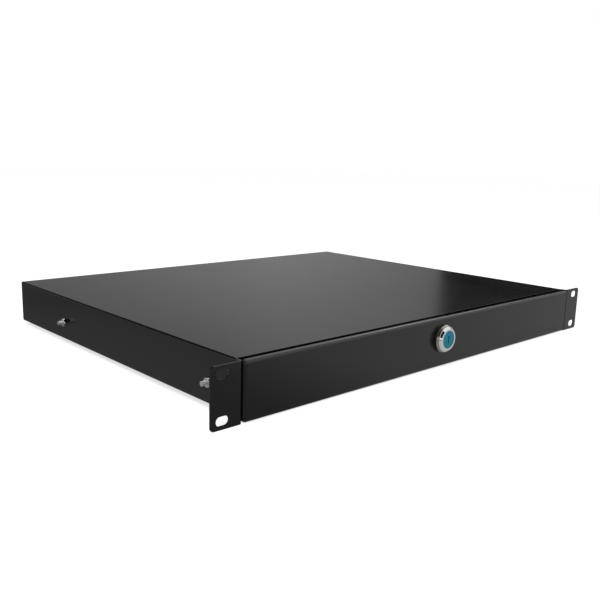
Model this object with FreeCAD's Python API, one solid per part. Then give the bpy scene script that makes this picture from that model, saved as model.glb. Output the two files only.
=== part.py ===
"""Sliding drawer for a 19-inch rack, one unit high, with ball-bearing slides and a cam lock.

Millimetres. X runs across the rack, Y into the rack, Z up. The origin is the middle of the four
rack slots, on the rear face of the ears, which is the face that bears on the rack's posts.
"""

import FreeCAD, Part
import math
import os

Vector = FreeCAD.Vector

# Rack interface: one rack unit of a 19-inch rack.
panel_width = 482.6
panel_height = 43.6
slot_inset = 9.55
slot_spacing_up = 31.75
slot_width = 6.6
slot_length = 10.5
ear_corner_radius = 3.0

# Case: one folded steel sheet, open underneath.
ear_reach = 24.8
case_height = 39.8
case_depth = 356.0
case_sheet = 1.2
case_bend = 0.4
ear_bend = 1.3
ear_relief = 0.4
top_setback = 6.0
return_flange_width = 12.0
ear_leg_depth = 5.0
flange_setback = 8.0

# Rear panel, spot-welded inside the case.
rear_sheet = 1.2
rear_flange_depth = 12.0
rear_side_gap = 0.4

# Drawer front: a shallow pan with its four edges folded back.
front_sheet = 1.2
front_bend = 1.0
front_depth = 4.0
front_proud = 1.0
front_side_gap = 0.3
front_top_gap = 0.2
front_bottom_gap = 0.3
front_corner_radius = 2.5

# Drawer tray: one folded steel sheet with welded corners.
tray_sheet = 1.2
tray_bend = 1.0
tray_wall_height = 29.4
tray_floor_gap = 0.8
tray_hem_width = 6.0
tray_rear_space = 17.0
tray_relief = 2.8

# Telescopic slides.
slide_space = 10.0
slide_setback = 6.0
slide_rear_space = 6.0
slide_floor_gap = 2.1
slide_travel = 250.0
rail_height = 27.0
outer_rail_sheet = 1.2
inner_rail_sheet = 1.0
ball_diameter = 3.0
ball_race_gap = 0.2
ball_row_offset = 5.2
ball_pitch = 20.0
cradle_offset = 0.8
cradle_run = 1.2
cradle_rise = 0.7
retainer_sheet = 0.5
retainer_gap = 0.3
retainer_drop = 0.3
retainer_lip = 2.4
retainer_hole_gap = 0.15
retainer_step_height = 7.2
retainer_step = 2.7
stop_setback = 2.0
stop_half_height = 3.0
stop_reach = 3.8
stop_gap = 0.3
bumper_length = 10.0
bumper_half_height = 6.5
bumper_thickness = 6.8

# Screws and nuts, all M4.
screw_diameter = 4.0
screw_hole_gap = 0.15
thread_gap = 0.05
screw_head_diameter = 7.2
screw_head_height = 2.2
nut_across_flats = 7.0
nut_height = 3.2
outer_screw_setback = 27.5
outer_screw_spacing = 224.0
outer_screw_projection = 7.3
inner_screw_setback = 20.0
inner_screw_count = 3
inner_screw_spacing = 130.0
inner_screw_projection = 4.2
stud_projection = 5.9
stud_offsets = (60.0, 150.0)
stud_drop = 7.4

# Cam lock.
lock_drop = 18.4
lock_head_diameter = 24.2
lock_head_length = 6.5
lock_side_length = 3.2
lock_rim_diameter = 19.8
lock_face_diameter = 15.0
lock_face_thickness = 1.4
lock_face_recess = 0.2
lock_face_gap = 0.15
lock_barrel_diameter = 18.9
lock_barrel_flats = 16.0
lock_barrel_length = 14.9
lock_hole_gap = 0.15
plug_diameter = 12.0
plug_running_gap = 0.05
plug_end_gap = 0.3
plug_tang_diameter = 8.8
plug_tang_flats = 6.4
keyway_width = 1.6
keyway_height = 7.0
keyway_depth = 15.0
wafer_count = 5
wafer_thickness = 1.0
wafer_width = 5.6
wafer_gap = 0.1
wafer_pitch = 2.4
wafer_setback = 2.0
cam_thickness = 2.0
cam_width = 10.0
cam_reach = 15.5
cam_hub = 6.5
cam_corner_radius = 2.0
cam_washer_diameter = 9.0
cam_washer_thickness = 0.8
cam_screw_length = 7.0
lock_nut_flats = 22.0
lock_nut_height = 3.0
lock_notch_gap = 3.3

# Strike behind which the cam turns up.
strike_width = 30.0
strike_sheet = 1.2
strike_gap = 0.4
strike_barrel_gap = 0.55
strike_setback = 1.0
strike_bend = 1.0

# Places worked out from the sizes above.
slot_spacing_across = panel_width - 2 * slot_inset
case_width = panel_width - 2 * ear_reach
case_top = panel_height / 2
case_bottom = case_top - case_height
case_side = case_width / 2
case_inner_side = case_side - case_sheet
tray_side = case_inner_side - slide_space
tray_bottom = case_bottom + case_sheet + tray_floor_gap
tray_top = tray_bottom + tray_wall_height
front_face = -case_sheet - front_proud
front_back = front_face + front_sheet
tray_front = front_back
tray_rear = case_depth - tray_rear_space
slide_height = case_bottom + case_sheet + slide_floor_gap + rail_height / 2
rail_front = slide_setback
rail_length = case_depth - slide_setback - slide_rear_space
rail_rear = rail_front + rail_length
inner_rail_rear = rail_rear - bumper_length - stop_gap
ball_radius = ball_diameter / 2
race_radius = ball_radius + ball_race_gap
ball_row_height = rail_height / 2 - outer_rail_sheet - race_radius
inner_half_height = ball_row_height - race_radius
retainer_half_height = ball_row_height - retainer_drop
retainer_open_front = rail_front + stop_setback + outer_rail_sheet + stop_gap
retainer_front = retainer_open_front + slide_travel / 2
retainer_rear = inner_rail_rear - inner_rail_sheet - stop_gap - slide_travel / 2
screw_hole_radius = screw_diameter / 2 + screw_hole_gap
lock_height = case_top - lock_drop
stud_height = lock_height - stud_drop
lock_barrel_rear = front_face + lock_barrel_length
plug_shoulder = lock_barrel_rear + plug_end_gap
lock_head_front = front_face - lock_head_length
lock_face_front = lock_head_front + lock_face_recess
lock_face_back = lock_face_front + lock_face_thickness
cam_rear = plug_shoulder + cam_thickness


def in_section(y):
    """Map a flat outline into the upright plane across the rack at this depth."""
    return lambda u, v: Vector(u, y, v)


def in_side_view(x):
    """Map a flat outline, drawn as depth and height, into the upright plane along the rack."""
    return lambda u, v: Vector(x, u, v)


def in_plan(z):
    """Map a flat outline into the level plane at this height."""
    return lambda u, v: Vector(u, v, z)


def in_slide_section(y):
    """Map a slide's section: u runs from the case's side towards the tray, v from its middle."""
    return lambda u, v: Vector(u - case_inner_side, y, v + slide_height)


def rounded_face(corners, lift):
    """Flat face through corners given as (u, v, radius), each rounded by its own radius."""
    edges = []
    entries = []
    exits = []
    middles = []
    count = len(corners)
    for index in range(count):
        u, v, radius = corners[index]
        here = Vector(u, v, 0)
        before = corners[index - 1]
        after = corners[(index + 1) % count]
        back = (Vector(before[0], before[1], 0) - here).normalize()
        forward = (Vector(after[0], after[1], 0) - here).normalize()
        half_angle = back.getAngle(forward) / 2
        reach = radius / math.tan(half_angle)
        entries.append(here + back * reach)
        exits.append(here + forward * reach)
        if radius > 0:
            inward = (back + forward).normalize()
            middles.append(here + inward * (radius / math.sin(half_angle) - radius))
        else:
            middles.append(None)
    for index in range(count):
        start = exits[index - 1]
        end = entries[index]
        if start.distanceToPoint(end) > 1e-6:
            edges.append(Part.LineSegment(lift(start.x, start.y), lift(end.x, end.y)).toShape())
        if middles[index] is not None:
            points = [lift(p.x, p.y) for p in (end, middles[index], exits[index])]
            edges.append(Part.Arc(points[0], points[1], points[2]).toShape())
    return Part.Face(Part.Wire(edges))


def sheet_corners(path, thickness, bend):
    """Outline of a folded strip whose metal lies to the left of the path, bent at its corners."""
    near = []
    far = []
    last = len(path) - 1
    for index in range(last + 1):
        here = Vector(path[index][0], path[index][1], 0)
        normals = []
        directions = []
        for first, second in ((index - 1, index), (index, index + 1)):
            if first >= 0 and second <= last:
                step = Vector(path[second][0] - path[first][0], path[second][1] - path[first][1], 0)
                step.normalize()
                directions.append(step)
                normals.append(Vector(-step.y, step.x, 0))
        if len(normals) == 1:
            shift = normals[0] * thickness
            near_radius = 0
            far_radius = 0
        else:
            shift = (normals[0] + normals[1]) * (thickness / (1 + normals[0].dot(normals[1])))
            turns_left = directions[0].cross(directions[1]).z > 0
            near_radius = bend + thickness if turns_left else bend
            far_radius = bend if turns_left else bend + thickness
        near.append((here.x, here.y, near_radius))
        far.append((here.x + shift.x, here.y + shift.y, far_radius))
    return near + far[::-1]


def folded_sheet(path, thickness, bend, lift, length):
    """Folded sheet: its outline in one plane, drawn out by a length vector."""
    return rounded_face(sheet_corners(path, thickness, bend), lift).extrude(length)


def box_between(low, high):
    """Box from its lowest corner to its highest."""
    size = Vector(*high) - Vector(*low)
    return Part.makeBox(size.x, size.y, size.z, Vector(*low))


def mirrored(shape):
    """The same shape on the other side of the rack."""
    return shape.mirror(Vector(0, 0, 0), Vector(1, 0, 0))


def both_sides(shapes):
    """Shapes on the left side and their mirror images on the right."""
    return shapes + [mirrored(shape) for shape in shapes]


def hexagonal_prism(flats, height, centre, direction, corner_angle):
    """Hexagonal prism standing on its centre point along a direction."""
    corner_radius = flats / math.sqrt(3)
    points = []
    for corner in range(7):
        angle = math.radians(60 * corner + corner_angle)
        points.append(Vector(corner_radius * math.cos(angle), corner_radius * math.sin(angle), 0))
    prism = Part.Face(Part.makePolygon(points)).extrude(Vector(0, 0, height))
    turn = FreeCAD.Rotation(Vector(0, 0, 1), direction)
    prism.Placement = FreeCAD.Placement(centre, turn)
    return prism


def hex_nut(centre, direction):
    """M4 nut with chamfered corners, seated on its centre point."""
    prism = hexagonal_prism(nut_across_flats, nut_height, centre, direction, 30)
    corner_radius = nut_across_flats / math.sqrt(3)
    chamfer = Part.makeCone(corner_radius + nut_height / 4, nut_across_flats / 2, nut_height,
                            centre, direction)
    bore = Part.makeCylinder(screw_diameter / 2 + thread_gap, nut_height, centre, direction)
    return prism.common(chamfer).cut(bore)


def pan_screw(seat, direction, length):
    """M4 screw: its head stands on the seat against the direction that its shank runs."""
    shank = Part.makeCylinder(screw_diameter / 2, length, seat, direction)
    head = Part.makeCylinder(screw_head_diameter / 2, screw_head_height, seat, direction * -1)
    rim = [edge for edge in head.Edges
           if edge.Closed and abs((edge.CenterOfMass - seat).Length - screw_head_height) < 0.01]
    head = head.makeChamfer(screw_head_height * 0.3, rim)
    slot_depth = screw_head_height * 0.5
    top = seat - direction * screw_head_height
    cross = []
    for along in (Vector(0, 1, 0), Vector(0, 0, 1)):
        if abs(along.dot(direction)) > 0.5:
            along = Vector(1, 0, 0)
        across = along.cross(direction)
        centre = top + direction * (slot_depth / 2)
        half = along * (screw_head_diameter * 0.3) + across * 0.5 + direction * (slot_depth / 2)
        corners = (centre - half, centre + half)
        low = [min(corners[0][i], corners[1][i]) for i in range(3)]
        high = [max(corners[0][i], corners[1][i]) for i in range(3)]
        cross.append(box_between(low, high))
    return head.cut(cross[0]).cut(cross[1]).fuse(shank).removeSplitter()


def outer_screw_depths():
    """Depths of the screws that hold an outer rail."""
    first = rail_front + outer_screw_setback
    return [first, first + outer_screw_spacing]


def inner_screw_depths():
    """Depths of the screws that hold an inner rail."""
    return [rail_front + inner_screw_setback + inner_screw_spacing * i
            for i in range(inner_screw_count)]


def rack_ear():
    """Left ear: bent out from the front of the side, with rounded corners and two slots."""
    tip = -panel_width / 2
    path = [(-case_side, flange_setback), (-case_side, 0), (tip, 0)]
    ear = folded_sheet(path, case_sheet, ear_bend, in_plan(-panel_height / 2),
                       Vector(0, 0, panel_height))
    outline = [(tip, -panel_height / 2, ear_corner_radius), (tip, panel_height / 2, ear_corner_radius),
               (0, panel_height / 2, 0), (0, -panel_height / 2, 0)]
    keep = rounded_face(outline, in_section(-case_sheet - 1)).extrude(Vector(0, case_depth, 0))
    ear = ear.common(keep)
    for side in (-1, 1):
        height = side * slot_spacing_up / 2
        middle = -slot_spacing_across / 2
        half = slot_length / 2
        end = slot_width / 2
        slot = [(middle - half, height - end, end), (middle + half, height - end, end),
                (middle + half, height + end, end), (middle - half, height + end, end)]
        cutter = rounded_face(slot, in_section(-case_sheet - 1))
        ear = ear.cut(cutter.extrude(Vector(0, case_sheet + 2, 0)))
    below = box_between((-case_side - 1, ear_leg_depth, -panel_height),
                        (-case_inner_side + 1, case_depth, case_bottom))
    above = box_between((-case_side - 1, top_setback - ear_relief, case_top - case_sheet - case_bend),
                        (-case_inner_side + 1, case_depth, panel_height))
    return ear.cut(below).cut(above)


def case_shell():
    """Folded case: top and sides, ears, and return flanges underneath."""
    bend_start = case_bottom + case_sheet + case_bend
    path = [(case_side, bend_start), (case_side, case_top), (-case_side, case_top),
            (-case_side, bend_start)]
    length = Vector(0, case_depth - top_setback, 0)
    hood = folded_sheet(path, case_sheet, case_bend, in_section(top_setback), length)
    flange_path = [(-case_side, bend_start), (-case_side, case_bottom),
                   (-case_side + return_flange_width, case_bottom)]
    flange = folded_sheet(flange_path, case_sheet, case_bend, in_section(flange_setback),
                          Vector(0, case_depth - flange_setback, 0))
    shell = hood.fuse(both_sides([flange, rack_ear()]))
    for y in outer_screw_depths():
        start = Vector(-case_width, y, slide_height)
        shell = shell.cut(Part.makeCylinder(screw_hole_radius, 2 * case_width, start, Vector(1, 0, 0)))
    return shell.removeSplitter()


def rear_panel():
    """Rear wall of the case, with a flange welded under the top and one at the bottom edge."""
    top = case_top - case_sheet
    bottom = case_bottom + case_sheet
    half = case_inner_side - rear_side_gap
    flange_half = tray_side - rear_flange_depth / 4
    flange_start = case_depth - rear_flange_depth
    path = [(flange_start, bottom), (case_depth, bottom), (case_depth, top), (flange_start, top)]
    panel = folded_sheet(path, rear_sheet, case_bend, in_side_view(-half), Vector(2 * half, 0, 0))
    for side in (-1, 1):
        ends = sorted((side * flange_half, side * case_side))
        for low, high in ((bottom - 1, bottom + rear_sheet + case_bend),
                          (top - rear_sheet - case_bend, top + 1)):
            panel = panel.cut(box_between((ends[0], flange_start - 1, low),
                                          (ends[1], case_depth + 1, high)))
    return panel


def lock_strike():
    """Angle welded under the top: its leg hangs just in front of the turned-up cam."""
    rear = plug_shoulder - strike_gap
    leg_front = top_setback + strike_setback
    top = case_top - case_sheet
    bottom = lock_height + lock_barrel_diameter / 2 + strike_barrel_gap
    path = [(rear, bottom), (rear, top), (leg_front, top)]
    return folded_sheet(path, strike_sheet, strike_bend, in_side_view(-strike_width / 2),
                        Vector(strike_width, 0, 0))


def lanced_stop(web_face, direction, y, thickness, sheet):
    """Stop tab bent out of a rail's web, and the window that it leaves behind it."""
    low = web_face - case_inner_side
    reach = sorted((low - direction * sheet, low + direction * stop_reach))
    tab = box_between((reach[0], y, slide_height - stop_half_height),
                      (reach[1], y + thickness, slide_height + stop_half_height))
    wall = sorted((low + direction * 0.5, low - direction * (sheet + 0.5)))
    return tab, wall


def outer_rail():
    """Outer rail: a channel on the case's side, its edges curled over the two rows of balls."""
    lip = ball_row_offset + race_radius + outer_rail_sheet
    half = rail_height / 2
    path = [(lip, ball_row_height), (lip, half), (0, half), (0, -half), (lip, -half),
            (lip, -ball_row_height)]
    rail = folded_sheet(path, outer_rail_sheet, race_radius, in_slide_section(rail_front),
                        Vector(0, rail_length, 0))
    stop_front = rail_front + stop_setback
    tab, wall = lanced_stop(outer_rail_sheet, 1, stop_front, outer_rail_sheet, outer_rail_sheet)
    window_start = stop_front + outer_rail_sheet + case_bend
    window = box_between((wall[0], window_start, slide_height - stop_half_height),
                         (wall[1], window_start + stop_reach, slide_height + stop_half_height))
    rail = rail.fuse(tab).cut(window)
    for y in outer_screw_depths():
        start = Vector(-case_side, y, slide_height)
        rail = rail.cut(Part.makeCylinder(screw_hole_radius, slide_space, start, Vector(1, 0, 0)))
    return rail.removeSplitter()


def inner_rail():
    """Inner rail: a channel on the tray's side whose flanges cradle the balls from inside."""
    web = slide_space
    start = ball_row_offset - cradle_offset
    tip = start - cradle_run
    half = inner_half_height
    path = [(tip, -half - cradle_rise), (start, -half), (web, -half), (web, half), (start, half),
            (tip, half + cradle_rise)]
    length = Vector(0, inner_rail_rear - rail_front, 0)
    rail = folded_sheet(path, inner_rail_sheet, inner_rail_sheet / 2, in_slide_section(rail_front),
                        length)
    stop_front = inner_rail_rear - inner_rail_sheet
    tab, wall = lanced_stop(web - inner_rail_sheet, -1, stop_front, inner_rail_sheet, inner_rail_sheet)
    window_end = stop_front - case_bend
    window = box_between((wall[0], window_end - stop_reach, slide_height - stop_half_height),
                         (wall[1], window_end, slide_height + stop_half_height))
    rail = rail.fuse(tab).cut(window)
    for y in inner_screw_depths():
        start = Vector(-case_side, y, slide_height)
        rail = rail.cut(Part.makeCylinder(screw_hole_radius, 2 * slide_space, start, Vector(1, 0, 0)))
    return rail.removeSplitter()


def ball_places():
    """Centres of one slide's balls: two rows, spread evenly along the retainer."""
    count = int((retainer_rear - retainer_front - ball_diameter) / ball_pitch) + 1
    first = (retainer_front + retainer_rear - (count - 1) * ball_pitch) / 2
    x = ball_row_offset - case_inner_side
    return [Vector(x, first + ball_pitch * i, slide_height + side * ball_row_height)
            for side in (-1, 1) for i in range(count)]


def ball_retainer():
    """Pressed strip between the rails, stepped clear of the screw heads, with a hole per ball."""
    back = outer_rail_sheet + retainer_gap
    half = retainer_half_height
    tip = ball_row_offset + retainer_lip
    step = retainer_step_height
    path = [(tip, half), (back, half), (back, step), (back + retainer_step, step - retainer_step),
            (back + retainer_step, retainer_step - step), (back, -step), (back, -half), (tip, -half)]
    length = Vector(0, retainer_rear - retainer_front, 0)
    strip = folded_sheet(path, retainer_sheet, retainer_sheet / 2, in_slide_section(retainer_front),
                         length)
    for place in ball_places():
        hole_radius = ball_radius + retainer_hole_gap
        low = place - Vector(0, 0, ball_radius)
        strip = strip.cut(Part.makeCylinder(hole_radius, ball_diameter, low))
    return strip


def rear_bumper():
    """Block at the rear of the outer rail that the closed inner rail comes to rest against."""
    face = outer_rail_sheet - case_inner_side
    block = box_between((face, rail_rear - bumper_length, slide_height - bumper_half_height),
                        (face + bumper_thickness, rail_rear, slide_height + bumper_half_height))
    upright = [edge for edge in block.Edges
               if edge.BoundBox.ZLength > bumper_half_height and edge.BoundBox.XMin > face + 1]
    return block.makeFillet(bumper_thickness / 4, upright)


def drawer_tray():
    """Folded tray: floor, two sides and two ends, with a hem turned in along every top edge."""
    bottom = tray_bottom
    top = tray_top
    side = tray_side
    outer_bend = tray_sheet + tray_bend
    path = [(side - tray_hem_width, top), (side, top), (side, bottom), (-side, bottom), (-side, top),
            (-side + tray_hem_width, top)]
    path = path[::-1]
    trough = folded_sheet(path, tray_sheet, tray_bend, in_section(tray_front),
                          Vector(0, tray_rear - tray_front, 0))
    end_half = side - tray_sheet
    tray = trough
    for start, direction in ((tray_front, 1), (tray_rear, -1)):
        span = sorted((start, start + direction * outer_bend))
        tray = tray.cut(box_between((-end_half + tray_relief, span[0] - 1, bottom - 1),
                                    (end_half - tray_relief, span[1], bottom + outer_bend)))
        end_path = [(start + direction * tray_hem_width, top), (start, top), (start, bottom),
                    (start + direction * outer_bend, bottom)]
        if direction < 0:
            end_path = end_path[::-1]
        wall = folded_sheet(end_path, tray_sheet, tray_bend, in_side_view(-end_half),
                            Vector(2 * end_half, 0, 0))
        mitre = tray_hem_width + tray_bend
        for hand in (-1, 1):
            ends = sorted((hand * (side + 1), hand * (side - mitre)))
            depths = sorted((start + direction * tray_sheet, start + direction * (mitre + 1)))
            wall = wall.cut(box_between((ends[0], depths[0], top - outer_bend),
                                        (ends[1], depths[1], top + 1)))
        tray = tray.fuse(wall)
        for hand in (-1, 1):
            ends = sorted((hand * (side + 1), hand * (side - tray_sheet - tray_relief)))
            depths = sorted((start - direction, start + direction * tray_relief))
            tray = tray.cut(box_between((ends[0], depths[0], bottom - 1),
                                        (ends[1], depths[1], bottom + tray_relief)))
    nut_reach = lock_nut_flats / math.sqrt(3) + lock_notch_gap
    tray = tray.cut(box_between((-nut_reach, tray_front + tray_sheet, top - outer_bend),
                                (nut_reach, tray_front + tray_hem_width + 1, top + 1)))
    opening = lock_barrel_diameter / 2 + lock_hole_gap
    lock_hole = Part.makeCylinder(opening, 3 * tray_sheet, Vector(0, tray_front - tray_sheet, lock_height),
                                  Vector(0, 1, 0))
    above = box_between((-opening, tray_front - 1, lock_height), (opening, tray_front + tray_sheet + 1,
                                                                  top + 1))
    tray = tray.cut(lock_hole).cut(above)
    for x in stud_places():
        start = Vector(x, tray_front - 1, stud_height)
        tray = tray.cut(Part.makeCylinder(screw_hole_radius, tray_sheet + 2, start, Vector(0, 1, 0)))
    for y in inner_screw_depths():
        start = Vector(-case_width, y, slide_height)
        tray = tray.cut(Part.makeCylinder(screw_hole_radius, 2 * case_width, start, Vector(1, 0, 0)))
    return tray.removeSplitter()


def double_d(diameter, flats, start, length):
    """Round bar along the rack's depth with two opposite flats, above and below."""
    bar = Part.makeCylinder(diameter / 2, length, Vector(0, start, lock_height), Vector(0, 1, 0))
    slab = box_between((-diameter, start, lock_height - flats / 2),
                       (diameter, start + length, lock_height + flats / 2))
    return bar.common(slab)


def front_block(inset, start, edge_radius):
    """Solid block with the front's outline drawn in by an inset, its front edges rounded."""
    half = case_inner_side - front_side_gap - inset
    top = panel_height / 2 - front_top_gap - inset
    bottom = -panel_height / 2 + front_bottom_gap + inset
    radius = front_corner_radius - inset
    outline = [(-half, bottom, radius), (half, bottom, radius), (half, top, radius), (-half, top, radius)]
    depth = front_face + front_depth - start
    block = rounded_face(outline, in_section(start)).extrude(Vector(0, depth, 0))
    edges = [edge for edge in block.Edges if edge.BoundBox.YMax < start + 0.01]
    return block.makeFillet(edge_radius, edges)


def drawer_front():
    """Front pan: a face sheet with its edges bent back and welded corners, pierced for the lock."""
    pan = front_block(0, front_face, front_sheet + front_bend)
    pan = pan.cut(front_block(front_sheet, front_back, front_bend))
    hole = double_d(lock_barrel_diameter + 2 * lock_hole_gap, lock_barrel_flats + 2 * lock_hole_gap,
                    front_face - 1, front_sheet + 2)
    return pan.cut(hole)


def stud_places():
    """Places across the front of the studs that carry it on the tray."""
    return [side * offset for offset in stud_offsets for side in (-1, 1)]


def front_studs():
    """Weld studs on the back of the front's face sheet."""
    studs = []
    for x in stud_places():
        start = Vector(x, front_back, stud_height)
        studs.append(Part.makeCylinder(screw_diameter / 2, stud_projection, start, Vector(0, 1, 0)))
    return studs


def front_nuts():
    """Nuts that draw the tray's front wall onto the front."""
    seat = tray_front + tray_sheet
    return [hex_nut(Vector(x, seat, stud_height), Vector(0, 1, 0)) for x in stud_places()]


def outer_rail_screws():
    """Screws through outer rail and case side, heads inside the rail and ends outside the case."""
    seat = outer_rail_sheet - case_inner_side
    length = outer_rail_sheet + case_sheet + outer_screw_projection
    return both_sides([pan_screw(Vector(seat, y, slide_height), Vector(-1, 0, 0), length)
                       for y in outer_screw_depths()])


def outer_rail_nuts():
    """Nuts on the outside of the case."""
    return both_sides([hex_nut(Vector(-case_side, y, slide_height), Vector(-1, 0, 0))
                       for y in outer_screw_depths()])


def inner_rail_screws():
    """Screws through inner rail and tray side, heads inside the slide."""
    seat = slide_space - inner_rail_sheet - case_inner_side
    length = inner_rail_sheet + tray_sheet + inner_screw_projection
    return both_sides([pan_screw(Vector(seat, y, slide_height), Vector(1, 0, 0), length)
                       for y in inner_screw_depths()])


def inner_rail_nuts():
    """Nuts on the inside of the tray."""
    seat = tray_sheet - tray_side
    return both_sides([hex_nut(Vector(seat, y, slide_height), Vector(1, 0, 0))
                       for y in inner_screw_depths()])


def turned(corners):
    """Body of revolution about the lock's axis, from corners given as (radius, depth, rounding)."""
    profile = rounded_face(corners, lambda u, v: Vector(u, v, lock_height))
    return profile.revolve(Vector(0, 0, lock_height), Vector(0, 1, 0), 360)


def lock_housing():
    """Cast lock body: round head with a wide conical bevel, and a barrel with two flats."""
    bore = plug_diameter / 2 + plug_running_gap
    barrel = lock_barrel_diameter / 2
    head = lock_head_diameter / 2
    rim = lock_rim_diameter / 2
    pocket = lock_face_diameter / 2 + lock_face_gap
    pocket_floor = lock_face_back + lock_face_gap
    shoulder = front_face - lock_side_length
    cap = turned([(bore, front_face, 0), (head, front_face, 0), (head, shoulder, 0.5),
                  (rim, lock_head_front, 0.6), (pocket, lock_head_front, 0.3),
                  (pocket, pocket_floor, 0), (bore, pocket_floor, 0)])
    body = double_d(2 * barrel, lock_barrel_flats, front_face, lock_barrel_length)
    through = Part.makeCylinder(bore, 2 * lock_barrel_length,
                                Vector(0, front_face - 1, lock_height), Vector(0, 1, 0))
    return cap.fuse(body.cut(through)).removeSplitter()


def wafer_depths():
    """Front face of each wafer, one behind the other."""
    first = lock_face_back + wafer_setback
    return [first + wafer_pitch * i for i in range(wafer_count)]


def keyway(start, length):
    """Upright slot for the key."""
    return box_between((-keyway_width / 2, start, lock_height - keyway_height / 2),
                       (keyway_width / 2, start + length, lock_height + keyway_height / 2))


def lock_plug():
    """Plug that the key turns: slotted for the wafers, with a flatted tang for the cam."""
    axis = Vector(0, 1, 0)
    core = Part.makeCylinder(plug_diameter / 2, plug_shoulder - lock_face_back,
                             Vector(0, lock_face_back, lock_height), axis)
    tang = double_d(plug_tang_diameter, plug_tang_flats, plug_shoulder, cam_thickness)
    plug = core.fuse(tang)
    plug = plug.cut(keyway(lock_face_back - 1, keyway_depth + 1))
    for y in wafer_depths():
        low = (-wafer_width / 2 - wafer_gap, y - wafer_gap, lock_height - plug_diameter)
        high = (wafer_width / 2 + wafer_gap, y + wafer_thickness + wafer_gap, lock_height + plug_diameter)
        plug = plug.cut(box_between(low, high))
    screw_start = cam_rear - (cam_screw_length - cam_washer_thickness)
    hole = Part.makeCylinder(screw_diameter / 2 + thread_gap, cam_screw_length + 1,
                             Vector(0, screw_start, lock_height), axis)
    return plug.cut(hole)


def lock_wafers():
    """Spring wafers: thin plates in the plug's slots, each with a window for the key."""
    wafers = []
    for y in wafer_depths():
        plate = Part.makeCylinder(plug_diameter / 2 - wafer_gap, wafer_thickness,
                                  Vector(0, y, lock_height), Vector(0, 1, 0))
        low = (-wafer_width / 2, y - 1, lock_height - plug_diameter)
        high = (wafer_width / 2, y + wafer_thickness + 1, lock_height + plug_diameter)
        wafers.append(plate.common(box_between(low, high)).cut(keyway(y - 1, wafer_thickness + 2)))
    return wafers


def lock_face():
    """Coloured disc on the front of the plug, round the keyway."""
    disc = Part.makeCylinder(lock_face_diameter / 2, lock_face_thickness,
                             Vector(0, lock_face_front, lock_height), Vector(0, 1, 0))
    rim = [edge for edge in disc.Edges if edge.Closed and edge.BoundBox.YMax < lock_face_front + 0.01]
    return disc.makeChamfer(lock_face_recess, rim).cut(keyway(lock_face_front - 1, lock_face_thickness + 2))


def lock_nut():
    """Thin hexagonal nut that clamps the lock to the front."""
    seat = Vector(0, tray_front + tray_sheet, lock_height)
    axis = Vector(0, 1, 0)
    prism = hexagonal_prism(lock_nut_flats, lock_nut_height, seat, axis, 30)
    bore = Part.makeCylinder(lock_barrel_diameter / 2 + thread_gap, lock_nut_height, seat, axis)
    return prism.cut(bore)


def lock_cam():
    """Flat cam on the plug's tang; at rest it lies sideways, clear of the strike."""
    half = cam_width / 2
    outline = [(-cam_reach, lock_height - half, cam_corner_radius),
               (cam_hub, lock_height - half, half * 0.9), (cam_hub, lock_height + half, half * 0.9),
               (-cam_reach, lock_height + half, cam_corner_radius)]
    cam = rounded_face(outline, in_section(plug_shoulder)).extrude(Vector(0, cam_thickness, 0))
    hole = double_d(plug_tang_diameter + 2 * thread_gap, plug_tang_flats + 2 * thread_gap,
                    plug_shoulder - 1, cam_thickness + 2)
    return cam.cut(hole)


def cam_washer():
    """Washer that holds the cam on its tang."""
    seat = Vector(0, cam_rear, lock_height)
    axis = Vector(0, 1, 0)
    disc = Part.makeCylinder(cam_washer_diameter / 2, cam_washer_thickness, seat, axis)
    return disc.cut(Part.makeCylinder(screw_diameter / 2 + thread_gap, cam_washer_thickness, seat, axis))


def cam_screw():
    """Screw in the end of the plug."""
    seat = Vector(0, cam_rear + cam_washer_thickness, lock_height)
    return pan_screw(seat, Vector(0, -1, 0), cam_screw_length)


def save(name, shapes):
    """Write one node: a single solid, or a group of equal ones."""
    solids = shapes if isinstance(shapes, list) else [shapes]
    found = [solid for shape in solids for solid in shape.Solids]
    shape = found[0] if len(found) == 1 else Part.makeCompound(found)
    shape.exportStep(os.path.join("parts", name + ".step"))
    print(name, len(found), round(shape.Volume), all(solid.isValid() for solid in found))


def save_pair(name, shapes):
    """Write a left-hand piece and its mirror image."""
    solids = shapes if isinstance(shapes, list) else [shapes]
    save("left_" + name, solids)
    save("right_" + name, [mirrored(shape) for shape in solids])


os.makedirs("parts", exist_ok=True)
save("case_shell", case_shell())
save("rear_panel", rear_panel())
save("lock_strike", lock_strike())
save_pair("outer_rail", outer_rail())
save_pair("rear_bumper", rear_bumper())
save("outer_rail_screws", outer_rail_screws())
save("outer_rail_nuts", outer_rail_nuts())
save_pair("ball_retainer", ball_retainer())
save_pair("balls", [Part.makeSphere(ball_radius, place) for place in ball_places()])
save_pair("inner_rail", inner_rail())
save("inner_rail_screws", inner_rail_screws())
save("inner_rail_nuts", inner_rail_nuts())
save("drawer_tray", drawer_tray())
save("drawer_front", drawer_front())
save("front_studs", front_studs())
save("front_nuts", front_nuts())
save("lock_housing", lock_housing())
save("lock_nut", lock_nut())
save("lock_plug", lock_plug())
save("lock_face", lock_face())
save("lock_wafers", lock_wafers())
save("lock_cam", lock_cam())
save("cam_washer", cam_washer())
save("cam_screw", cam_screw())
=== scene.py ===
import bpy
import math
from mathutils import Matrix, Vector


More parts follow.
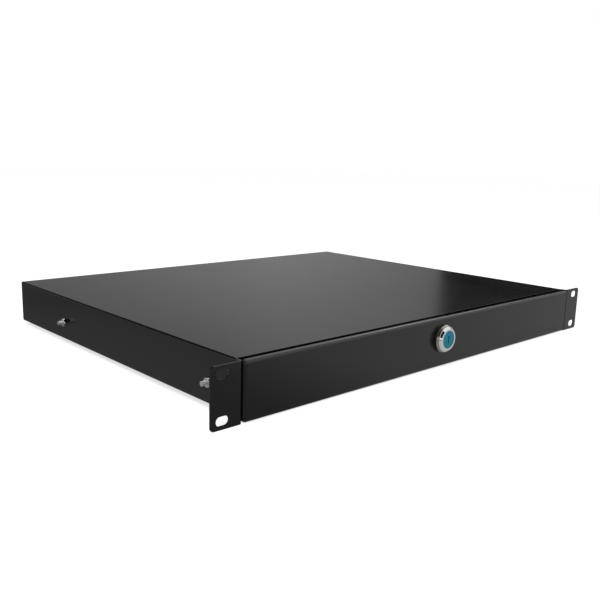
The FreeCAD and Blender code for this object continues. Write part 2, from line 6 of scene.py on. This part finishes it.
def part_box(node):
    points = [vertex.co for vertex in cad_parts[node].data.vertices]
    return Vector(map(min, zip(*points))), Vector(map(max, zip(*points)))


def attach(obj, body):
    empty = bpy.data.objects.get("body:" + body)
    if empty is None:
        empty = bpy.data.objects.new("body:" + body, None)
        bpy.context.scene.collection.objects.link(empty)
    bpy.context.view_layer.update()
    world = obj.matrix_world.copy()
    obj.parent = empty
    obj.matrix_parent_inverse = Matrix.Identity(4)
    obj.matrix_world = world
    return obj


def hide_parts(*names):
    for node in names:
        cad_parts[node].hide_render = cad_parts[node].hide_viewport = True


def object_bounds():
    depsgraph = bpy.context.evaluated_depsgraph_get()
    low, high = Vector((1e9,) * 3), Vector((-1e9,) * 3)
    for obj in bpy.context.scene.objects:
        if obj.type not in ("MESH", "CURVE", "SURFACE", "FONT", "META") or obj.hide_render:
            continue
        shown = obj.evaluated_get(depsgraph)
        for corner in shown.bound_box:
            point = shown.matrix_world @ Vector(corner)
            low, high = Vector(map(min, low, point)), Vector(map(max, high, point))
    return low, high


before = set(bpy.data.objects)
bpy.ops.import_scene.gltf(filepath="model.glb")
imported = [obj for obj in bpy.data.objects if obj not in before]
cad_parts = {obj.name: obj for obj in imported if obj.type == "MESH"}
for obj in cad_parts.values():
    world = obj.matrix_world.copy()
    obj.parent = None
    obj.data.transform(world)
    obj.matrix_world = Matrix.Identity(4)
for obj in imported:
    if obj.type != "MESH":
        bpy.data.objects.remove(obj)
cad_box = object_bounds()


# Camera: a 43 mm lens 63 cm from the middle of the front, to its left and a little above it, so
# that the front, the left side and the top of the case all show.
view_heading = math.radians(-42.94)
view_drop = math.radians(11.38)
view_roll = math.radians(1.49)
camera_place = (-0.49579, -0.35539, 0.15349)
camera_data = bpy.data.cameras.new("product_camera")
camera_data.sensor_width = 36.0
camera_data.lens = 43.2
camera = bpy.data.objects.new("product_camera", camera_data)
bpy.context.scene.collection.objects.link(camera)
camera.matrix_world = (Matrix.Translation(camera_place) @ Matrix.Rotation(view_heading, 4, "Z")
                       @ Matrix.Rotation(math.pi / 2 - view_drop, 4, "X")
                       @ Matrix.Rotation(view_roll, 4, "Z"))
bpy.context.scene.camera = camera
bpy.context.scene.view_settings.view_transform = "Standard"


# Case: the shell, the rear panel and the lock's strike are folded steel sheet, spot-welded and
# then coated together with black polyester powder, baked to a satin finish.
def linear_colour(code):
    """Linear colour from a six-digit sRGB code."""
    channels = [int(code[place:place + 2], 16) / 255 for place in (0, 2, 4)]
    return [c / 12.92 if c <= 0.04045 else ((c + 0.055) / 1.055) ** 2.4 for c in channels] + [1.0]


def add_node(tree, kind, settings, links):
    """Add a shader node; settings fill its sockets or properties, links feed its sockets."""
    node = tree.nodes.new(kind)
    for name, value in settings.items():
        if isinstance(name, int) or name in node.inputs:
            node.inputs[name].default_value = value
        else:
            setattr(node, name, value)
    for name, (source, output) in links.items():
        tree.links.new(source.outputs[output], node.inputs[name])
    return node


def new_finish(name):
    """Start a material: its node tree, its surface shader and the object's own coordinates."""
    finish = bpy.data.materials.new(name)
    finish.use_nodes = True
    tree = finish.node_tree
    surface = tree.nodes["Principled BSDF"]
    return finish, tree, surface, add_node(tree, "ShaderNodeTexCoord", {}, {})


def dress(finish, *names):
    """Give a finish to CAD nodes."""
    for name in names:
        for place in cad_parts[name].material_slots:
            place.material = finish


def powder_coat(name, smooth, rough):
    """Baked black powder paint: grains melted together leave fine bumps and an uneven sheen."""
    finish, tree, surface, where = new_finish(name)
    # The melted grains are 0.3 to 0.6 mm across, and they flow into swells about 4 mm wide.
    grain = add_node(tree, "ShaderNodeTexNoise", {"Scale": 2200.0, "Detail": 2.0, "Roughness": 0.6},
                     {"Vector": (where, "Object")})
    swell = add_node(tree, "ShaderNodeTexNoise", {"Scale": 240.0, "Detail": 1.0},
                     {"Vector": (where, "Object")})
    # Handling leaves patches some 60 mm wide where the sheen is a little softer.
    handling = add_node(tree, "ShaderNodeTexNoise", {"Scale": 16.0, "Detail": 4.0,
                                                     "Roughness": 0.6},
                        {"Vector": (where, "Object")})
    sheen = add_node(tree, "ShaderNodeMapRange", {"From Min": 0.3, "From Max": 0.7,
                                                  "To Min": smooth, "To Max": rough},
                     {"Value": (handling, 0)})
    colour = add_node(tree, "ShaderNodeMix", {"data_type": "RGBA", 6: linear_colour("0F0F11"),
                                              7: linear_colour("151517")}, {0: (grain, 0)})
    corner = add_node(tree, "ShaderNodeBevel", {"samples": 4, "Radius": 0.0003}, {})
    soft = add_node(tree, "ShaderNodeBump", {"Strength": 0.3, "Distance": 0.00006},
                    {"Height": (swell, 0), "Normal": (corner, 0)})
    fine = add_node(tree, "ShaderNodeBump", {"Strength": 0.35, "Distance": 0.00002},
                    {"Height": (grain, 0), "Normal": (soft, 0)})
    surface.inputs["IOR"].default_value = 1.5
    tree.links.new(colour.outputs[2], surface.inputs["Base Color"])
    tree.links.new(sheen.outputs[0], surface.inputs["Roughness"])
    tree.links.new(fine.outputs[0], surface.inputs["Normal"])
    return finish


dress(powder_coat("black_powder_coat", 0.19, 0.22),
      "case_shell", "rear_panel", "lock_strike")


# Slides: roll-formed rails and pressed ball retainers in zinc-plated steel strip. The rails ride
# on the case and the tray, the retainers run between them.
def plated_strip(name, cool, warm, smooth, rough):
    """Zinc-plated steel strip, with drawing lines along the rack and a faint passivated tint."""
    finish, tree, surface, where = new_finish(name)
    surface.inputs["Metallic"].default_value = 1.0
    # Rolling lines run along the rail, about 0.25 mm apart and 80 mm long, coarser than real ones.
    along = add_node(tree, "ShaderNodeMapping", {"Scale": (4000.0, 12.0, 4000.0)},
                     {"Vector": (where, "Object")})
    lines = add_node(tree, "ShaderNodeTexNoise", {"Scale": 1.0, "Detail": 3.0, "Roughness": 0.6},
                     {"Vector": (along, 0)})
    tint = add_node(tree, "ShaderNodeTexNoise", {"Scale": 55.0, "Detail": 3.0, "Roughness": 0.55},
                    {"Vector": (where, "Object")})
    spread = add_node(tree, "ShaderNodeMapRange", {"From Min": 0.35, "From Max": 0.65},
                      {"Value": (tint, 0)})
    colour = add_node(tree, "ShaderNodeMix", {"data_type": "RGBA", 6: linear_colour(cool),
                                              7: linear_colour(warm)}, {0: (spread, 0)})
    sheen = add_node(tree, "ShaderNodeMapRange", {"From Min": 0.3, "From Max": 0.7,
                                                  "To Min": smooth, "To Max": rough},
                     {"Value": (lines, 0)})
    corner = add_node(tree, "ShaderNodeBevel", {"samples": 4, "Radius": 0.0002}, {})
    bump = add_node(tree, "ShaderNodeBump", {"Strength": 0.25, "Distance": 0.00002},
                    {"Height": (lines, 0), "Normal": (corner, 0)})
    tree.links.new(colour.outputs[2], surface.inputs["Base Color"])
    tree.links.new(sheen.outputs[0], surface.inputs["Roughness"])
    tree.links.new(bump.outputs[0], surface.inputs["Normal"])
    return finish


dress(plated_strip("zinc_plated_rail", "C3C8CE", "D3D0C4", 0.2, 0.34),
      "left_outer_rail", "right_outer_rail", "left_inner_rail", "right_inner_rail")
dress(plated_strip("zinc_plated_retainer", "A9ADB2", "B8B5AB", 0.26, 0.4),
      "left_ball_retainer", "right_ball_retainer")


# Balls: hardened chromium steel, ground and lapped bright, with the thin smear of grease that
# dulls them in streaks.
ball_finish, ball_tree, ball_surface, ball_where = new_finish("lapped_ball_steel")
ball_surface.inputs["Metallic"].default_value = 1.0
ball_smear = add_node(ball_tree, "ShaderNodeTexNoise", {"Scale": 700.0, "Detail": 3.0},
                      {"Vector": (ball_where, "Object")})
ball_sheen = add_node(ball_tree, "ShaderNodeMapRange", {"From Min": 0.4, "From Max": 0.65,
                                                        "To Min": 0.05, "To Max": 0.22},
                      {"Value": (ball_smear, 0)})
ball_colour = add_node(ball_tree, "ShaderNodeMix", {"data_type": "RGBA", 6: linear_colour("D2D4D8"),
                                                    7: linear_colour("BDB9AC")},
                       {0: (ball_smear, 0)})
ball_tree.links.new(ball_colour.outputs[2], ball_surface.inputs["Base Color"])
ball_tree.links.new(ball_sheen.outputs[0], ball_surface.inputs["Roughness"])
dress(ball_finish, "left_balls", "right_balls")


# Bumpers: black polyamide blocks clipped into the rear of the outer rails, moulded against a
# spark-eroded tool that leaves them finely pitted.
bumper_finish, bumper_tree, bumper_surface, bumper_where = new_finish("moulded_polyamide")
bumper_pits = add_node(bumper_tree, "ShaderNodeTexNoise", {"Scale": 1800.0, "Detail": 2.0},
                       {"Vector": (bumper_where, "Object")})
bumper_colour = add_node(bumper_tree, "ShaderNodeMix", {"data_type": "RGBA",
                                                        6: linear_colour("1C1C1D"),
                                                        7: linear_colour("2A2A2B")},
                         {0: (bumper_pits, 0)})
bumper_bump = add_node(bumper_tree, "ShaderNodeBump", {"Strength": 0.4, "Distance": 0.00004},
                       {"Height": (bumper_pits, 0)})
bumper_surface.inputs["IOR"].default_value = 1.53
bumper_surface.inputs["Roughness"].default_value = 0.55
bumper_tree.links.new(bumper_colour.outputs[2], bumper_surface.inputs["Base Color"])
bumper_tree.links.new(bumper_bump.outputs[0], bumper_surface.inputs["Normal"])
dress(bumper_finish, "left_rear_bumper", "right_rear_bumper")


# Screws and nuts: M4 cold-formed steel with bright zinc plate. Their threads are 0.7 mm pitch,
# cut on the shanks only.
def plated_fastener(name, thread_axis, first, half_step, height):
    """Bright zinc plate; bands of one thread pitch cover only what lies within a shank's radius."""
    # An M4 shank has a radius of 2 mm, and the bands end just outside it.
    thread_pitch = 0.0007
    thread_edge = 0.0021
    edge_fade = 0.00005
    finish, tree, surface, where = new_finish(name)
    surface.inputs["Metallic"].default_value = 1.0
    grain = add_node(tree, "ShaderNodeTexNoise", {"Scale": 900.0, "Detail": 3.0},
                     {"Vector": (where, "Object")})
    colour = add_node(tree, "ShaderNodeMix", {"data_type": "RGBA", 6: linear_colour("E6E9EC"),
                                              7: linear_colour("D9D8D3")}, {0: (grain, 0)})
    sheen = add_node(tree, "ShaderNodeMapRange", {"From Min": 0.35, "From Max": 0.7, "To Min": 0.07,
                                                  "To Max": 0.18}, {"Value": (grain, 0)})
    axes = add_node(tree, "ShaderNodeSeparateXYZ", {}, {"Vector": (where, "Object")})
    across = "Y" if thread_axis == "X" else "X"
    distance = add_node(tree, "ShaderNodeMath", {"operation": "ABSOLUTE"}, {0: (axes, across)})
    from_first = add_node(tree, "ShaderNodeMath", {"operation": "SUBTRACT", 1: first},
                          {0: (distance, 0)})
    sideways = add_node(tree, "ShaderNodeMath", {"operation": "PINGPONG", 1: half_step},
                        {0: (from_first, 0)})
    above = add_node(tree, "ShaderNodeMath", {"operation": "SUBTRACT", 1: height}, {0: (axes, "Z")})
    offset = add_node(tree, "ShaderNodeCombineXYZ", {}, {"X": (sideways, 0), "Y": (above, 0)})
    radius = add_node(tree, "ShaderNodeVectorMath", {"operation": "LENGTH"}, {0: (offset, 0)})
    shank = add_node(tree, "ShaderNodeMapRange", {"From Min": thread_edge,
                                                  "From Max": thread_edge - edge_fade},
                     {"Value": (radius, "Value")})
    bands = add_node(tree, "ShaderNodeMath", {"operation": "MULTIPLY",
                                              1: 2 * math.pi / thread_pitch},
                     {0: (axes, thread_axis)})
    crests = add_node(tree, "ShaderNodeMath", {"operation": "SINE"}, {0: (bands, 0)})
    thread = add_node(tree, "ShaderNodeMath", {"operation": "MULTIPLY"},
                      {0: (crests, 0), 1: (shank, 0)})
    corner = add_node(tree, "ShaderNodeBevel", {"samples": 4, "Radius": 0.0002}, {})
    cut = add_node(tree, "ShaderNodeBump", {"Strength": 0.9, "Distance": 0.00018},
                   {"Height": (thread, 0), "Normal": (corner, 0)})
    tree.links.new(colour.outputs[2], surface.inputs["Base Color"])
    tree.links.new(sheen.outputs[0], surface.inputs["Roughness"])
    tree.links.new(cut.outputs[0], surface.inputs["Normal"])
    return finish


def middle_height(name):
    """Height of the middle of a CAD node."""
    low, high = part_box(name)
    return (low.z + high.z) / 2


screw_head_radius = 0.0036
outer_screw_step = 0.224
inner_screw_step = 0.13
near_stud, far_stud = 0.06, 0.15
slide_height = middle_height("left_outer_rail")
first_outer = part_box("outer_rail_screws")[0].y + screw_head_radius
dress(plated_fastener("bright_zinc_outer", "X", first_outer, outer_screw_step / 2, slide_height),
      "outer_rail_screws", "outer_rail_nuts")
first_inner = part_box("inner_rail_screws")[0].y + screw_head_radius
dress(plated_fastener("bright_zinc_inner", "X", first_inner, inner_screw_step / 2, slide_height),
      "inner_rail_screws", "inner_rail_nuts")
dress(plated_fastener("bright_zinc_front", "Y", near_stud, (far_stud - near_stud) / 2,
                      middle_height("front_studs")),
      "front_studs", "front_nuts")
# The cam's screw stands alone on the lock's axis, so any step wider than its washer serves.
lone_step = 0.1
lock_height = middle_height("cam_washer")
dress(plated_fastener("bright_zinc_cam", "Y", 0.0, lone_step / 2, lock_height),
      "cam_washer", "cam_screw")


# Tray: one sheet folded up into a shallow box and coated with the same powder, with a duller
# sheen than the case has.
dress(powder_coat("black_tray_coat", 0.28, 0.32), "drawer_tray")


# Front: a shallow pan with its edges folded back, coated with the same powder, its sheen a
# shade softer than the case's.
dress(powder_coat("black_front_coat", 0.2, 0.23), "drawer_front")


# Lock body: cast zinc, turned, polished and chromium-plated, clamped through the front by a
# thin hexagonal nut.
head_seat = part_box("drawer_front")[0].y
polish_edge = head_seat - 0.0046
chrome_finish, chrome_tree, chrome_surface, chrome_where = new_finish("chrome_plated_zinc")
chrome_surface.inputs["Metallic"].default_value = 1.0
chrome_wave = add_node(chrome_tree, "ShaderNodeTexNoise", {"Scale": 320.0, "Detail": 2.0},
                       {"Vector": (chrome_where, "Object")})
chrome_colour = add_node(chrome_tree, "ShaderNodeMix", {"data_type": "RGBA",
                                                        6: linear_colour("E4E7E9"),
                                                        7: linear_colour("D8DBDC")},
                         {0: (chrome_wave, 0)})
chrome_sheen = add_node(chrome_tree, "ShaderNodeMapRange", {"From Min": 0.4, "From Max": 0.7,
                                                            "To Min": 0.05, "To Max": 0.1},
                        {"Value": (chrome_wave, 0)})
chrome_bump = add_node(chrome_tree, "ShaderNodeBump", {"Strength": 0.1, "Distance": 0.00005},
                       {"Height": (chrome_wave, 0)})
# Only the nose is polished; from its foot back to the tail the plating lies over turned metal
# and stays satin and greyer.
polish_fade = 0.00005
chrome_depth = add_node(chrome_tree, "ShaderNodeSeparateXYZ", {}, {0: (chrome_where, "Object")})
chrome_satin = add_node(chrome_tree, "ShaderNodeMapRange", {"From Min": polish_edge - polish_fade,
                                                            "From Max": polish_edge + polish_fade},
                        {"Value": (chrome_depth, "Y")})
chrome_shade = add_node(chrome_tree, "ShaderNodeMix", {"data_type": "RGBA",
                                                       7: linear_colour("9C9890")},
                        {0: (chrome_satin, 0), 6: (chrome_colour, 2)})
chrome_grain = add_node(chrome_tree, "ShaderNodeMath", {"operation": "MULTIPLY_ADD", 1: 0.22},
                        {0: (chrome_satin, 0), 2: (chrome_sheen, 0)})
chrome_tree.links.new(chrome_shade.outputs[2], chrome_surface.inputs["Base Color"])
chrome_tree.links.new(chrome_grain.outputs[0], chrome_surface.inputs["Roughness"])
chrome_tree.links.new(chrome_bump.outputs[0], chrome_surface.inputs["Normal"])

housing_low, housing_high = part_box("lock_housing")
plug_gap = 0.00005
face_gap = 0.00015
bore_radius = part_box("lock_plug")[1].x + plug_gap
pocket_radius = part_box("lock_face")[1].x + face_gap
pocket_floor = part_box("lock_face")[1].y + face_gap
skirt_radius = 0.0113
flange_radius = housing_high.x
flange_edge = head_seat - 0.0026
step_radius = 0.0110
nose_radius = 0.0107
rim_radius = 0.0094
round_sides = 96
bpy.ops.object.select_all(action="DESELECT")
bpy.ops.mesh.primitive_circle_add(vertices=round_sides, radius=bore_radius,
                                  location=(0.0, head_seat, lock_height),
                                  rotation=(math.pi / 2, 0.0, 0.0))
lock_head = bpy.context.object
lock_head.name = "lock_head"
bpy.ops.object.transform_apply()
bpy.ops.object.mode_set(mode="EDIT")
# Each ring as radius and depth: out to the skirt's foot, up the skirt to the widest edge, over the
# satin bevel to a small step, up the nose, across the rim, down into the face's pocket and back
# through the bore.
last_radius = bore_radius
last_depth = head_seat
for ring_radius, ring_depth in ((skirt_radius, head_seat), (flange_radius, flange_edge),
                                (step_radius, polish_edge), (nose_radius, polish_edge),
                                (rim_radius, housing_low.y), (pocket_radius, housing_low.y),
                                (pocket_radius, pocket_floor), (bore_radius, pocket_floor),
                                (bore_radius, head_seat)):
    step = (0.0, ring_depth - last_depth, 0.0)
    bpy.ops.mesh.extrude_edges_move(TRANSFORM_OT_translate={"value": step})
    grow = ring_radius / last_radius
    bpy.ops.transform.resize(value=(grow, 1.0, grow),
                             center_override=(0.0, ring_depth, lock_height))
    last_radius = ring_radius
    last_depth = ring_depth
bpy.ops.mesh.select_all(action="SELECT")
bpy.ops.mesh.remove_doubles(threshold=0.00001)
bpy.ops.mesh.normals_make_consistent(inside=False)
bpy.ops.object.mode_set(mode="OBJECT")
soften = lock_head.modifiers.new("edges", "BEVEL")
soften.width = 0.00018
soften.segments = 3
soften.limit_method = "ANGLE"
soften.angle_limit = math.radians(10)
bpy.ops.object.modifier_apply(modifier=soften.name)

bpy.ops.object.select_all(action="DESELECT")
barrel_radius = 0.00945
barrel_flat = 0.008
barrel_length = housing_high.y - head_seat
barrel_middle = (0.0, head_seat + barrel_length / 2, lock_height)
bpy.ops.mesh.primitive_cylinder_add(vertices=round_sides, radius=barrel_radius,
                                    depth=barrel_length, location=barrel_middle,
                                    rotation=(math.pi / 2, 0.0, 0.0))
lock_barrel = bpy.context.object
lock_barrel.name = "lock_barrel_shell"
bpy.ops.object.transform_apply()
bpy.ops.object.mode_set(mode="EDIT")
for side in (-1, 1):
    bpy.ops.mesh.select_all(action="SELECT")
    bpy.ops.mesh.bisect(plane_co=(0.0, 0.0, lock_height + side * barrel_flat),
                        plane_no=(0.0, 0.0, side), use_fill=True, clear_outer=True)
bpy.ops.object.mode_set(mode="OBJECT")
bpy.ops.object.select_all(action="DESELECT")
bpy.ops.mesh.primitive_cylinder_add(vertices=round_sides, radius=bore_radius,
                                    depth=2 * barrel_length, location=barrel_middle,
                                    rotation=(math.pi / 2, 0.0, 0.0))
drill = bpy.context.object
bore = lock_barrel.modifiers.new("bore", "BOOLEAN")
bore.object = drill
bpy.context.view_layer.objects.active = lock_barrel
bpy.ops.object.modifier_apply(modifier=bore.name)
bpy.data.objects.remove(drill)
for piece in (lock_head, lock_barrel):
    bpy.ops.object.select_all(action="DESELECT")
    piece.select_set(True)
    bpy.context.view_layer.objects.active = piece
    bpy.ops.object.shade_smooth_by_angle(angle=math.radians(28))
    piece.data.materials.clear()
    piece.data.materials.append(chrome_finish)
    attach(piece, "drawer")
    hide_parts("lock_housing")


# Lock plug, cam and nut: cast zinc and plated steel that stays behind the front, left with the
# grain of the die and of the barrel that tumbled it.
zinc_finish, zinc_tree, zinc_surface, zinc_where = new_finish("tumbled_zinc_casting")
zinc_surface.inputs["Metallic"].default_value = 1.0
zinc_grain = add_node(zinc_tree, "ShaderNodeTexNoise", {"Scale": 1300.0, "Detail": 4.0,
                                                        "Roughness": 0.65},
                      {"Vector": (zinc_where, "Object")})
zinc_colour = add_node(zinc_tree, "ShaderNodeMix", {"data_type": "RGBA", 6: linear_colour("B7B9BC"),
                                                    7: linear_colour("9FA1A5")},
                       {0: (zinc_grain, 0)})
zinc_sheen = add_node(zinc_tree, "ShaderNodeMapRange", {"From Min": 0.35, "From Max": 0.7,
                                                        "To Min": 0.26, "To Max": 0.44},
                      {"Value": (zinc_grain, 0)})
zinc_bump = add_node(zinc_tree, "ShaderNodeBump", {"Strength": 0.3, "Distance": 0.00003},
                     {"Height": (zinc_grain, 0)})
zinc_tree.links.new(zinc_colour.outputs[2], zinc_surface.inputs["Base Color"])
zinc_tree.links.new(zinc_sheen.outputs[0], zinc_surface.inputs["Roughness"])
zinc_tree.links.new(zinc_bump.outputs[0], zinc_surface.inputs["Normal"])
dress(zinc_finish, "lock_plug", "lock_cam", "lock_nut")


# Lock face: a moulded blue disc on the plug's end, semi-gloss. Its tint slants from greener at the
# lower left to bluer at the upper right as painted shading, following how the light falls across
# the disc; the fine flow within it is the plastic's own uneven tone.
face_finish, face_tree, face_surface, face_where = new_finish("moulded_blue_face")
face_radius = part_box("lock_face")[1].x
# Painted shading: the direction along which the disc turns from greener to bluer, as light falls.
face_light_way = (0.6, 0.0, 0.8)
face_middle = lock_height * face_light_way[2]
face_slant = add_node(face_tree, "ShaderNodeVectorMath", {"operation": "DOT_PRODUCT", 1: face_light_way},
                      {0: (face_where, "Object")})
face_painted_shade = add_node(face_tree, "ShaderNodeMapRange", {"From Min": face_middle - face_radius,
                                                         "From Max": face_middle + face_radius},
                       {"Value": (face_slant, "Value")})
face_flow = add_node(face_tree, "ShaderNodeTexNoise", {"Scale": 420.0, "Detail": 3.0},
                     {"Vector": (face_where, "Object")})
# The plastic's own flow is mixed with the painted shading slant here.
face_tone_and_painted_shade = add_node(face_tree, "ShaderNodeMath", {"operation": "MULTIPLY_ADD", 2: -0.12},
                    {0: (face_flow, 0), 1: (face_painted_shade, 0)})
face_tone_and_painted_shade = add_node(face_tree, "ShaderNodeMath", {"operation": "MULTIPLY", 1: 2.2},
                    {0: (face_tone_and_painted_shade, 0)})
face_colour = add_node(face_tree, "ShaderNodeMix", {"data_type": "RGBA", 6: linear_colour("0E8C9A"),
                                                    7: linear_colour("1283BE")},
                       {0: (face_tone_and_painted_shade, 0)})
face_bump = add_node(face_tree, "ShaderNodeBump", {"Strength": 0.2, "Distance": 0.00005},
                     {"Height": (face_flow, 0)})
face_surface.inputs["IOR"].default_value = 1.49
face_surface.inputs["Specular IOR Level"].default_value = 0.3
face_surface.inputs["Roughness"].default_value = 0.28
face_tree.links.new(face_colour.outputs[2], face_surface.inputs["Base Color"])
face_tree.links.new(face_bump.outputs[0], face_surface.inputs["Normal"])
dress(face_finish, "lock_face")


# Wafers: blanked from half-hard brass strip, with the shear marks of the press on their edges.
wafer_finish, wafer_tree, wafer_surface, wafer_where = new_finish("blanked_brass")
wafer_surface.inputs["Metallic"].default_value = 1.0
wafer_marks = add_node(wafer_tree, "ShaderNodeTexNoise", {"Scale": 1500.0, "Detail": 3.0},
                       {"Vector": (wafer_where, "Object")})
wafer_colour = add_node(wafer_tree, "ShaderNodeMix", {"data_type": "RGBA",
                                                      6: linear_colour("D9BE6C"),
                                                      7: linear_colour("B8964A")},
                        {0: (wafer_marks, 0)})
wafer_sheen = add_node(wafer_tree, "ShaderNodeMapRange", {"To Min": 0.2, "To Max": 0.4},
                       {"Value": (wafer_marks, 0)})
wafer_tree.links.new(wafer_colour.outputs[2], wafer_surface.inputs["Base Color"])
wafer_tree.links.new(wafer_sheen.outputs[0], wafer_surface.inputs["Roughness"])
dress(wafer_finish, "lock_wafers")


# Floor: a matt white studio table just under the ears. Its own emission lifts it to white in
# camera, and the drawer still shades it.
floor_gap = 0.0001
floor_height = cad_box[0][2] - floor_gap
bpy.ops.object.select_all(action="DESELECT")
bpy.ops.mesh.primitive_plane_add(size=12.0, location=(0.0, 0.0, floor_height))
floor = bpy.context.object
floor.name = "studio_floor"
floor_finish, floor_tree, floor_surface, _ = new_finish("matt_white_table")
floor_surface.inputs["Base Color"].default_value = linear_colour("E6E6E6")
floor_surface.inputs["Roughness"].default_value = 0.9
floor_surface.inputs["Specular IOR Level"].default_value = 0.0
path = add_node(floor_tree, "ShaderNodeLightPath", {}, {})
seen = add_node(floor_tree, "ShaderNodeMath", {"operation": "MAXIMUM"},
                {0: (path, "Is Camera Ray"), 1: (path, "Is Glossy Ray")})
seen = add_node(floor_tree, "ShaderNodeMath", {"operation": "MAXIMUM"},
                {0: (seen, 0), 1: (path, "Is Transmission Ray")})
lift = add_node(floor_tree, "ShaderNodeMath", {"operation": "MULTIPLY", 1: 0.68}, {0: (seen, 0)})
floor_surface.inputs["Emission Color"].default_value = linear_colour("FFFFFF")
floor_tree.links.new(lift.outputs[0], floor_surface.inputs["Emission Strength"])
floor.data.materials.append(floor_finish)


# Flags: black cloth and gauze screens, which only mirrored light meets. Two lie on the table, one
# slants up over the left front, and the others stand behind and on the right. They leave the
# satin coat its soft gradients.
def flag(name, corners, centre=(0.0, 0.0, 0.0), weights=(0.0, 0.0, 0.0), near=1.0, far=2.0,
         clear_near=0.0, clear_far=1.0):
    """Black cloth between four corners, or gauze whose clearness changes away from a centre."""
    mesh = bpy.data.meshes.new(name)
    mesh.from_pydata(corners, [], [(0, 1, 2, 3)])
    card = bpy.data.objects.new(name, mesh)
    bpy.context.scene.collection.objects.link(card)
    finish = bpy.data.materials.new(name)
    finish.use_nodes = True
    tree = finish.node_tree
    tree.nodes.remove(tree.nodes["Principled BSDF"])
    where = add_node(tree, "ShaderNodeTexCoord", {}, {})
    away = add_node(tree, "ShaderNodeVectorMath", {"operation": "SUBTRACT", 1: centre},
                    {0: (where, "Object")})
    weighted = add_node(tree, "ShaderNodeVectorMath", {"operation": "MULTIPLY", 1: weights},
                        {0: (away, 0)})
    distance = add_node(tree, "ShaderNodeVectorMath", {"operation": "LENGTH"}, {0: (weighted, 0)})
    fade = add_node(tree, "ShaderNodeMapRange", {"From Min": near, "From Max": far,
                                                 "To Min": clear_near, "To Max": clear_far},
                    {"Value": (distance, "Value")})
    black = add_node(tree, "ShaderNodeBsdfDiffuse", {"Color": linear_colour("050505")}, {})
    clear = add_node(tree, "ShaderNodeBsdfTransparent", {}, {})
    mix = add_node(tree, "ShaderNodeMixShader", {}, {0: (fade, 0), 1: (black, 0), 2: (clear, 0)})
    tree.links.new(mix.outputs[0], tree.nodes["Material Output"].inputs["Surface"])
    mesh.materials.append(finish)
    card.visible_camera = False
    card.visible_diffuse = False
    card.visible_shadow = False
    card.visible_transmission = False


rear_wall = 3.0
flag("rear_gauze", [(-2.6, rear_wall, -0.02), (9.0, rear_wall, -0.02), (9.0, rear_wall, 1.6),
                    (-2.6, rear_wall, 1.6)],
     centre=(2.4, rear_wall, 0.5), weights=(1.0, 0.0, 1.0), near=0.0, far=1.6,
     clear_near=0.46, clear_far=0.26)
flag("rear_card", [(-2.6, rear_wall, 1.6), (2.2, rear_wall, 1.6), (2.2, rear_wall, 4.2),
                   (-2.6, rear_wall, 4.2)])
bend_wall = rear_wall - 0.01
flag("bend_card", [(-2.6, bend_wall, 0.72), (0.15, bend_wall, 0.72), (0.15, bend_wall, 1.6),
                   (-2.6, bend_wall, 1.6)])
flag("rear_flag", [(1.94, 1.41, -0.02), (1.94, 1.41, 1.1), (2.6, 0.2, 1.3), (2.6, 0.2, -0.02)])
flag("left_card", [(-2.05, -0.1, 0.55), (0.3, -0.1, 4.25), (0.3, -2.4, 4.25),
                   (-2.05, -2.4, 0.55)])
card_height = floor_height + 0.0003
left_end, right_end = -1.2, 0.9
gauze_seam = 0.01
flag("front_gauze", [(left_end, -0.8, card_height), (right_end, -0.8, card_height),
                     (right_end, gauze_seam, card_height), (left_end, gauze_seam, card_height)],
     centre=(left_end, 0.0, 0.0), weights=(1.0, 0.0, 0.0), near=1.02, far=1.15,
     clear_near=0.21, clear_far=0.485)
flag("side_gauze", [(left_end, gauze_seam, card_height), (right_end, gauze_seam, card_height),
                    (right_end, 1.2, card_height), (left_end, 1.2, card_height)],
     centre=(-0.2, 0.0, 0.0), weights=(0.0, 1.0, 0.0), near=0.05, far=0.45,
     clear_near=0.28, clear_far=0.12)


# Light: a pale even room, white where it is seen directly or mirrored, one large soft box high up
# on the left, and a small strip box on the right that only reflections show.
world = bpy.data.worlds.new("studio_room")
world.use_nodes = True
bpy.context.scene.world = world
room = world.node_tree
room_path = add_node(room, "ShaderNodeLightPath", {}, {})
room_seen = add_node(room, "ShaderNodeMath", {"operation": "MAXIMUM"},
                     {0: (room_path, "Is Camera Ray"), 1: (room_path, "Is Glossy Ray")})
room_seen = add_node(room, "ShaderNodeMath", {"operation": "MAXIMUM"},
                     {0: (room_seen, 0), 1: (room_path, "Is Transmission Ray")})
room_colour = add_node(room, "ShaderNodeMix", {"data_type": "RGBA", 6: linear_colour("A8A8A8"),
                                               7: linear_colour("FFFFFF")}, {0: (room_seen, 0)})
room.links.new(room_colour.outputs[2], room.nodes["Background"].inputs["Color"])

soft_box_data = bpy.data.lights.new("soft_box", "AREA")
soft_box_data.shape = "RECTANGLE"
soft_box_data.size = 1.2
soft_box_data.size_y = 0.9
soft_box_data.energy = 9.0
soft_box = bpy.data.objects.new("soft_box", soft_box_data)
bpy.context.scene.collection.objects.link(soft_box)
soft_box.matrix_world = (Matrix.Translation((-0.7, -0.4, 1.3))
                         @ Matrix.Rotation(math.radians(-35), 4, "Y")
                         @ Matrix.Rotation(math.radians(15), 4, "X"))
soft_box.visible_camera = False
soft_box.visible_glossy = False

strip_place = Vector((1.34, 0.53, 0.98))
bpy.ops.object.light_add(type="AREA", location=strip_place,
                         rotation=strip_place.to_track_quat("Z", "Y").to_euler())
strip_box = bpy.context.object
strip_box.name = "strip_box"
strip_box.data.shape = "RECTANGLE"
strip_box.data.size = 0.7
strip_box.data.size_y = 0.45
strip_box.data.energy = 1.6
strip_box.visible_camera = False
strip_box.visible_diffuse = False
